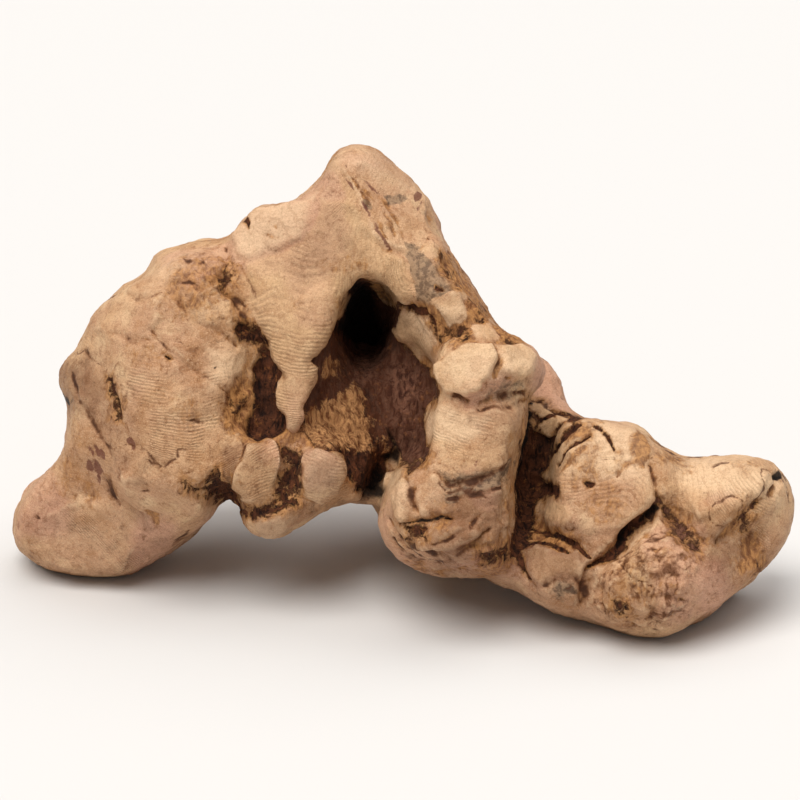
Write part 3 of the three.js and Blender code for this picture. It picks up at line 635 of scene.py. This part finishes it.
def lay(name, value, where=slice(None)):
    """Adds to a layer where the value is more than the layer holds."""
    layers[name][where] = np.maximum(layers[name][where], value)


flat = np.zeros(len(points))
for name, soft, strength, rise, marked in AREAS:
    outline = traced(marked)
    near = close_to(outline, 2 * soft)
    at = view[near] + AREA_WANDER * wander[near]
    away = to_line(at, outline + outline[:1])[0] * np.where(within(at, outline), -1, 1)
    if name:
        lay(name, strength * np.clip(0.5 - away / (2 * soft), 0, 1), near)
    inner = (1 - ramp(away, -0.8 * soft, 0.6 * soft)) * open_face[near]
    height[near] += rise * inner
    if (name is None or name == "pale" and strength < 1) and np.sum(inner > 0.5) > FEWEST:
        core = np.nonzero(near)[0][inner > 0.5]
        flat[core] -= FLATTEN * off_plane(points[core], normals[core]) * inner[inner > 0.5]

for name in ("bark", "gold", "grey"):
    layers[name] *= 1 - ramp(layers["pale"], 0.2, 0.5)

height += np.clip(spread_out(flat, 3), -3, 3)

cut = np.zeros(len(points))
ragged = 0.8 + 0.6 * rough(points, 4, 2, 13)
for name, width, strength, depth, marked in STROKES:
    line = traced(marked)
    near = close_to(line, 2 * width)
    away, share = to_line(view[near] + STROKE_WANDER * wander[near], line)
    away = away / (0.35 + 0.65 * np.sqrt(np.sin(np.pi * np.clip(share, 0.02, 0.98))))
    worn = 0.65 + 0.35 * ragged[near] if name in ("hole_shade", "bark") else ragged[near]
    lay(name, strength * worn * np.clip(1.1 - away / (0.8 * width + 1), 0, 1), near)
    groove = 1 - ramp(away, 0.2 * width, 0.9 * width + 1.5)
    cut[near] = np.maximum(cut[near], depth * groove * open_face[near])

carry_on(list(layers.values()), seen, RINGS)

# Knobs of the growth, with stain in the seams between them
knob, beside = cells(points + 4 * wander[:, [0, 1, 0]], KNOB, 51)
small, near_small = cells(points + 5 * wander[:, [1, 0, 1]], SMALL_KNOB, 54)
calm = np.maximum(layers["pale"], ramp(front[:, 1], 105, 130)) * seen
knobby = np.where(seen, 0.55, 1.0) * (1 - calm)
seam = ramp(beside - knob, 0.22, 0.0) * knobby * ramp(rough(points, 20, 2, 25), -0.6, 0.3)
net = ramp(layers["net"], 0.3, 0.7)
lay("crease", np.where(seen, 0.75, 0.6) * seam)
lay("crease", 0.7 * net * ramp(near_small - small, 0.24, 0.0))
height += 2.2 * knobby * np.minimum(0.4 - knob**2, 0.15) + 1.8 * net * (0.45 - small**2)
height += 1.4 * net * (billows(points, 10, 3, 36) - 0.4)

# Fine cracks that wander over the whole burl
vein = ramp(np.abs(rough(points, 26, 4, 61)), 0.09, 0.0) * ramp(rough(points, 30, 2, 65), 0.0, 0.5)
vein += 0.8 * ramp(np.abs(rough(points, 11, 3, 66)), 0.1, 0.0) * ramp(rough(points, 24, 2, 69), 0.15, 0.6)
vein *= 1 - 0.7 * layers["pale"]
lay("crease", 0.8 * np.clip(vein, 0, 1))
height -= 0.5 * vein

# Bark also lies in every deep hollow that the marks don't reach, seen or not
pocket = ramp(hollow + 0.25 * rough(points, 14, 3, 21), 0.42, 0.8)
lay("bark", pocket * np.where(seen, 0.5, 0.8))
# Gold darkens towards the hollows: stain, and painted shade in them
hollow_stain_and_shade = ramp(hollow + 0.35 * rough(points, 12, 3, 22), 0.1, 0.6)
lay("gold", 0.75 * hollow_stain_and_shade * (1 - layers["pale"]))
scatter = ramp(rough(points, 26, 4, 23), 0.2, 1.0)
lay("gold", np.where(seen, 0.5, 0.7) * scatter)
lay("grey", np.where(seen, 0.45, 0.7) * ramp(rough(points, 18, 3, 24), 0.5, 1.1))
lay("pink", 0.6 * ramp(rough(points, 34, 3, 26), 0.1, 0.8))

bark = ramp(layers["bark"], 0.4, 0.6)
craggy = ramp(layers["rocky"], 0.2, 0.8)
height += 1.6 * craggy * (billows(points, 7, 3, 37) - 0.5)
height += 0.4 * rough(points, 16, 2, 31) + 0.22 * rough(points, 5, 3, 32)
height += (0.45 + 0.5 * knobby) * (billows(points, 15, 3, 35) - 0.5)
height -= bark * (0.7 + 0.8 * rough(points, 4.5, 3, 33))
height -= 0.5 * ramp(layers["gold"], 0.35, 0.7) * (0.5 + rough(points, 3.5, 2, 34))
height -= cut
# Painted shade in the pits of the relief, as crack and gold colour, and painted highlight on its bumps, as lighter
# wood
pit = spread_out(height, 12) - height
lay("crease", 0.7 * ramp(pit, 0.25, 0.9))
lay("gold", 0.6 * ramp(pit, 0.1, 0.6))
lay("cream_and_highlight", 0.6 * ramp(-pit, 0.08, 0.5))
low_edge = ramp(points[:, 2], 0.3, 2.5)
points = points + normals * (height * low_edge)[:, None]
points[:, 2] = np.maximum(points[:, 2], 0)

# Ripples of the tool: bands that follow each limb
RIPPLES = [
    ((-88, 88), 45, (0.05, 1.0)),
    ((-118, 40), 30, (0.85, 0.5)),
    ((-42, 108), 32, (0.12, 1.0)),
    ((-28, 150), 30, (0.35, 0.94)),
    ((2, 150), 24, (0.95, 0.3)),
    ((-45, 62), 20, (0.45, 0.9)),
    ((24, 90), 32, (0.2, 0.98)),
    ((18, 50), 26, (0.6, 0.8)),
    ((75, 55), 30, (-0.3, 0.95)),
    ((120, 52), 24, (0.75, 0.66)),
    ((100, 20), 30, (0.5, 0.86)),
]
weights = np.zeros(len(points))
phase = np.zeros(len(points))
for (u, v), size, (du, dv) in RIPPLES:
    weight = np.exp(-((front[:, 0] - u) ** 2 + (front[:, 1] - v) ** 2) / size**2 * 2) + 1e-6
    phase += weight * (front[:, 0] * du + front[:, 1] * dv + 0.35 * front[:, 2])
    weights += weight
phase = phase / weights + 1.3 * noise(points, 20, 41) + 0.5 * noise(points, 6, 43)
ripple = 0.25 * ramp(rough(points, 24, 2, 42), -0.35, 0.45) + 0.9 * ramp(layers["rasp"], 0.2, 0.6)
ripple *= ramp(rough(points, 7, 2, 44), -0.5, 0.4) * (1 - bark)

# The piece
mesh = bpy.data.meshes.new("burl_wood")
mesh.from_pydata((points / 1000).tolist(), [], quads.tolist())
mesh.update()
shown = {name: layers[name] for name in SHOWN}
for name, values in {**shown, "phase": phase, "ripple": ripple}.items():
    mesh.attributes.new(name, "FLOAT", "POINT").data.foreach_set("value", values.astype(np.float32))
wood = bpy.data.objects.new("burl_wood", mesh)
bpy.context.scene.collection.objects.link(wood)
mesh.polygons.foreach_set("use_smooth", [True] * len(mesh.polygons))

thin = wood.modifiers.new("thin", "DECIMATE")
thin.ratio = min(1.0, TRIANGLES / (2 * len(quads)))


# The wood's look


class Nodes:
    """Short ways to add and join shader nodes."""

    def __init__(self, tree):
        self.tree = tree

    def add(self, kind, inputs=(), **settings):
        node = self.tree.nodes.new(kind)
        for key, value in settings.items():
            setattr(node, key, value)
        for key, value in dict(inputs).items():
            self.put(value, node.inputs[key])
        return node

    def put(self, value, socket):
        if isinstance(value, bpy.types.NodeSocket):
            self.tree.links.new(value, socket)
        else:
            socket.default_value = value

    def math(self, operation, *values):
        node = self.tree.nodes.new("ShaderNodeMath")
        node.operation = operation
        for value, socket in zip(values, node.inputs):
            self.put(value, socket)
        return node.outputs[0]

    def mix(self, factor, a, b, blend="MIX"):
        node = self.tree.nodes.new("ShaderNodeMix")
        node.data_type = "RGBA"
        node.blend_type = blend
        self.put(factor, node.inputs[0])
        self.put(a, node.inputs[6])
        self.put(b, node.inputs[7])
        return node.outputs[2]

    def layer(self, name):
        return self.add("ShaderNodeAttribute", attribute_name=name).outputs["Fac"]

    def noise(self, where, scale, detail=4.0, roughness=0.6, distortion=0.0):
        inputs = {"Vector": where, "Scale": scale, "Detail": detail, "Roughness": roughness, "Distortion": distortion}
        return self.add("ShaderNodeTexNoise", inputs).outputs["Fac"]

    def range(self, value, low, high, start=0.0, end=1.0):
        inputs = {"Value": value, "From Min": low, "From Max": high, "To Min": start, "To Max": end}
        return self.add("ShaderNodeMapRange", inputs, interpolation_type="SMOOTHSTEP").outputs[0]


LEVEL = 0.84  # how light the wood is under the studio's light


def linear(r, g, b):
    """A colour by its usual 0 to 255 values."""
    return tuple(LEVEL * ((c / 255 + 0.055) / 1.055) ** 2.4 for c in (r, g, b)) + (1.0,)


# Sanded wood
WOOD, ROSY_WOOD = linear(222, 178, 134), linear(208, 162, 126)
BROWN_CLOUD, LIGHT_CLOUD = linear(178, 126, 82), linear(240, 204, 160)
PINK, PALE, CREAM_AND_HIGHLIGHT = linear(220, 168, 140), linear(232, 192, 144), linear(248, 212, 172)
BLOT, PORE, GRAIN = linear(150, 98, 58), linear(138, 92, 58), linear(160, 106, 66)
DARK_GRIT, LIGHT_GRIT = linear(120, 78, 50), linear(255, 226, 190)
# Fine dust, and painted shade for the troughs of the ripples
DUST, RIPPLE_SHADE = linear(96, 62, 40), linear(110, 70, 44)
# Painted shade: this tint darkens undersides and shaded faces, and darker wood too
SHADE_AND_DARK_TINT = (0.5, 0.44, 0.42, 1.0)  # multiplies the wood's colour
# Stains, bark and rot, two colours where they are streaked or mottled
GOLD = linear(196, 140, 84), linear(112, 64, 32)
GREY = linear(66, 54, 46), linear(160, 132, 104)
RED, CRACK, CRACK_CORE = linear(98, 42, 36), linear(108, 62, 34), linear(58, 32, 20)
BARK = linear(36, 20, 16), linear(106, 62, 40)
BARK_FLECK, BARK_CLOUD = linear(168, 108, 60), linear(30, 16, 14)
UMBER = linear(164, 114, 90), linear(68, 40, 34)
TAN = linear(236, 176, 118), linear(124, 76, 46)
# Painted shade: the darkest colour, for deep holes and cracks
HOLE_SHADE_BLACK = linear(12, 9, 8)
# Heights of the fine relief, in metres
RIPPLE_HEIGHT, PORE_HEIGHT, DUST_HEIGHT, FIBRE_HEIGHT = 0.0001, 0.0008, 0.0003, 0.0018


def oak():
    material = bpy.data.materials.new("oak")
    material.use_nodes = True
    tree = material.node_tree
    tree.nodes.clear()
    n = Nodes(tree)
    where = n.add("ShaderNodeTexCoord").outputs["Object"]

    broad = n.noise(where, 22, 3)
    blotch = n.noise(where, 70, 5, 0.62)
    speck = n.noise(where, 420, 4, 0.65)
    edge = n.noise(where, 240, 7, 0.72, 0.5)
    fine = n.noise(where, 900, 4, 0.7)
    grit = n.noise(where, 2200, 2, 0.7)
    along = n.add("ShaderNodeMapping", {"Vector": where, "Scale": (1.0, 1.0, 0.28)}).outputs[0]
    fibre = n.noise(along, 520, 5, 0.65, 0.6)

    def mask(name, low, high, swing):
        """A layer with a ragged edge: the noise moves it, and it fades in from low to high."""
        shift = n.math("MULTIPLY", n.math("SUBTRACT", edge, 0.5), swing)
        return n.range(n.math("ADD", n.layer(name), shift), low, high)

    def over(colour, amount, factor, tint):
        return n.mix(n.math("MULTIPLY", factor, amount), colour, tint)

    # Sanded wood
    colour = n.mix(n.range(broad, 0.35, 0.65), WOOD, ROSY_WOOD)
    colour = over(colour, 0.7, n.range(blotch, 0.48, 0.7), BROWN_CLOUD)
    colour = over(colour, 0.6, n.range(blotch, 0.5, 0.3), LIGHT_CLOUD)
    colour = over(colour, 0.8, mask("pink", 0.2, 0.8, 0.6), PINK)
    colour = over(colour, 0.5, n.range(edge, 0.53, 0.68), BLOT)
    colour = over(colour, 0.5, n.range(speck, 0.54, 0.7), PORE)
    colour = over(colour, 0.4, mask("pale", 0.3, 0.7, 0.8), PALE)
    # Lighter wood, and painted light on lit tops, facets and bumps
    colour = over(colour, 0.7, mask("cream_and_highlight", 0.2, 0.9, 0.8), CREAM_AND_HIGHLIGHT)
    swirl = n.math("ADD", n.math("MULTIPLY", n.layer("phase"), 0.9), n.math("MULTIPLY", blotch, 26))
    swirl = n.math("ADD", swirl, n.math("MULTIPLY", edge, 5))
    colour = over(colour, 0.2, n.range(n.math("SINE", swirl), 0.3, 1.0), GRAIN)
    colour = over(colour, 0.35, n.range(grit, 0.5, 0.72), DARK_GRIT)
    colour = over(colour, 0.35, n.range(grit, 0.46, 0.28), LIGHT_GRIT)
    # Painted shade: darkens the wood on undersides and shaded faces, and darker wood too
    dark = n.math("MULTIPLY", mask("shade_and_dark_wood", 0.1, 0.9, 0.7), 0.9)
    colour = n.mix(dark, colour, SHADE_AND_DARK_TINT, "MULTIPLY")

    # Stains and cracks
    golden = n.mix(n.range(fibre, 0.36, 0.66), *GOLD)
    mottled = n.mix(n.range(speck, 0.4, 0.58), *GREY)
    colour = over(colour, 0.85, mask("gold", 0.28, 0.72, 1.2), golden)
    colour = over(colour, 0.75, mask("grey", 0.6, 1.0, 1.7), mottled)
    colour = over(colour, 0.75, mask("red", 0.4, 0.75, 1.2), RED)
    colour = over(colour, 0.8, mask("crease", 0.3, 0.8, 1.1), CRACK)
    colour = over(colour, 0.75, mask("crease", 0.55, 0.95, 0.9), CRACK_CORE)

    # Bark and rot
    brown = n.mix(n.range(fibre, 0.34, 0.6), *BARK)
    brown = over(brown, 0.75, n.range(speck, 0.56, 0.7), BARK_FLECK)
    brown = over(brown, 0.5, n.range(blotch, 0.52, 0.34), BARK_CLOUD)
    brown = over(brown, 0.75, n.layer("umber"), n.mix(n.range(fibre, 0.38, 0.62), *UMBER))
    brown = over(brown, 0.85, mask("tan", 0.4, 0.6, 1.9), n.mix(n.range(fibre, 0.36, 0.66), *TAN))
    colour = over(colour, 0.8, mask("bark", 0.1, 0.46, 1.0), golden)
    bark = mask("bark", 0.42, 0.56, 1.2)
    colour = n.mix(bark, colour, brown)
    # Painted shade: the darkest colour in deep holes and cracks
    colour = over(colour, 0.95, mask("hole_shade", 0.3, 0.75, 0.4), HOLE_SHADE_BLACK)
    colour = over(colour, 0.25, n.range(fine, 0.5, 0.75), DUST)

    # Relief: ripples on the sanded wood, pores all over, fibres on the bark
    turn = n.math("ADD", n.layer("phase"), n.math("MULTIPLY", blotch, 1.6))
    turn = n.math("MULTIPLY", turn, 2 * math.pi / RIPPLE_GAP)
    wave = n.math("MULTIPLY", n.math("SINE", turn), n.layer("ripple"))
    # Painted shade in the troughs of the ripples
    colour = over(colour, 0.2, n.range(wave, 0.1, -0.9), RIPPLE_SHADE)
    rasp = n.math("MULTIPLY", wave, RIPPLE_HEIGHT)
    pores = n.math("MULTIPLY", speck, PORE_HEIGHT)
    pores = n.math("ADD", pores, n.math("MULTIPLY", fine, DUST_HEIGHT))
    fibres = n.math("MULTIPLY", n.math("MULTIPLY", fibre, n.math("ADD", bark, 0.2)), FIBRE_HEIGHT)
    relief = n.math("ADD", n.math("ADD", rasp, pores), fibres)
    bump = n.add("ShaderNodeBump", {"Height": relief, "Strength": 1.0, "Distance": 1.0})

    shine = n.range(bark, 0, 1, 0.6, 0.85)
    inputs = {"Base Color": colour, "Roughness": shine, "Specular IOR Level": 0.15, "Normal": bump.outputs[0]}
    shader = n.add("ShaderNodeBsdfPrincipled", inputs)
    end = n.add("ShaderNodeOutputMaterial")
    tree.links.new(shader.outputs[0], end.inputs["Surface"])
    return material


mesh.materials.append(oak())
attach(wood, "root")
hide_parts("burl")

# Floor, light and camera
FLOOR = 6  # metres from its middle to its sides
SQUARE = ((-1, -1), (1, -1), (1, 1), (-1, 1))
SENSOR = 36  # millimetres
floor_mesh = bpy.data.meshes.new("floor")
floor_mesh.from_pydata([(FLOOR * x, FLOOR * y, 0) for x, y in SQUARE], [], [(0, 1, 2, 3)])
floor = bpy.data.objects.new("floor", floor_mesh)
bpy.context.scene.collection.objects.link(floor)
paper = bpy.data.materials.new("paper")
paper.use_nodes = True
sheet = paper.node_tree.nodes["Principled BSDF"].inputs
sheet["Base Color"].default_value = (0.66, 0.655, 0.65, 1)
sheet["Roughness"].default_value = 0.9
floor_mesh.materials.append(paper)

world = bpy.data.worlds.new("studio")
world.use_nodes = True
sky = world.node_tree.nodes["Background"].inputs
sky["Color"].default_value = (1.0, 0.98, 0.96, 1)
sky["Strength"].default_value = 0.3
bpy.context.scene.world = world


def lamp(name, source, spread, power, colour):
    """A soft light from the far side of that direction, as wide as the spread in degrees."""
    data = bpy.data.lights.new(name, "SUN")
    data.energy = power
    data.angle = math.radians(spread)
    data.color = colour
    lit = bpy.data.objects.new(name, data)
    lit.rotation_euler = Vector(source).to_track_quat("Z", "Y").to_euler()
    bpy.context.scene.collection.objects.link(lit)


lamp("key", (-0.3, -0.45, 1.0), 45, 3.0, (1.0, 0.97, 0.93))
lamp("top", (0.35, 0.25, 1.0), 60, 1.3, (1.0, 0.97, 0.94))

camera_data = bpy.data.cameras.new("camera")
camera = bpy.data.objects.new("camera", camera_data)
bpy.context.scene.collection.objects.link(camera)
camera.location = to_row([EYE])[0]
aim = to_row([(EYE[0], EYE[1], 0)])[0]
camera.rotation_euler = Vector(aim - np.array(camera.location)).to_track_quat("-Z", "Y").to_euler()
camera_data.sensor_width = SENSOR
camera_data.lens = SENSOR * EYE[2] / (VIEW * UNIT)
camera_data.clip_start = 0.05
camera_data.clip_end = 30
bpy.context.scene.camera = camera
bpy.context.scene.view_settings.view_transform = "Standard"
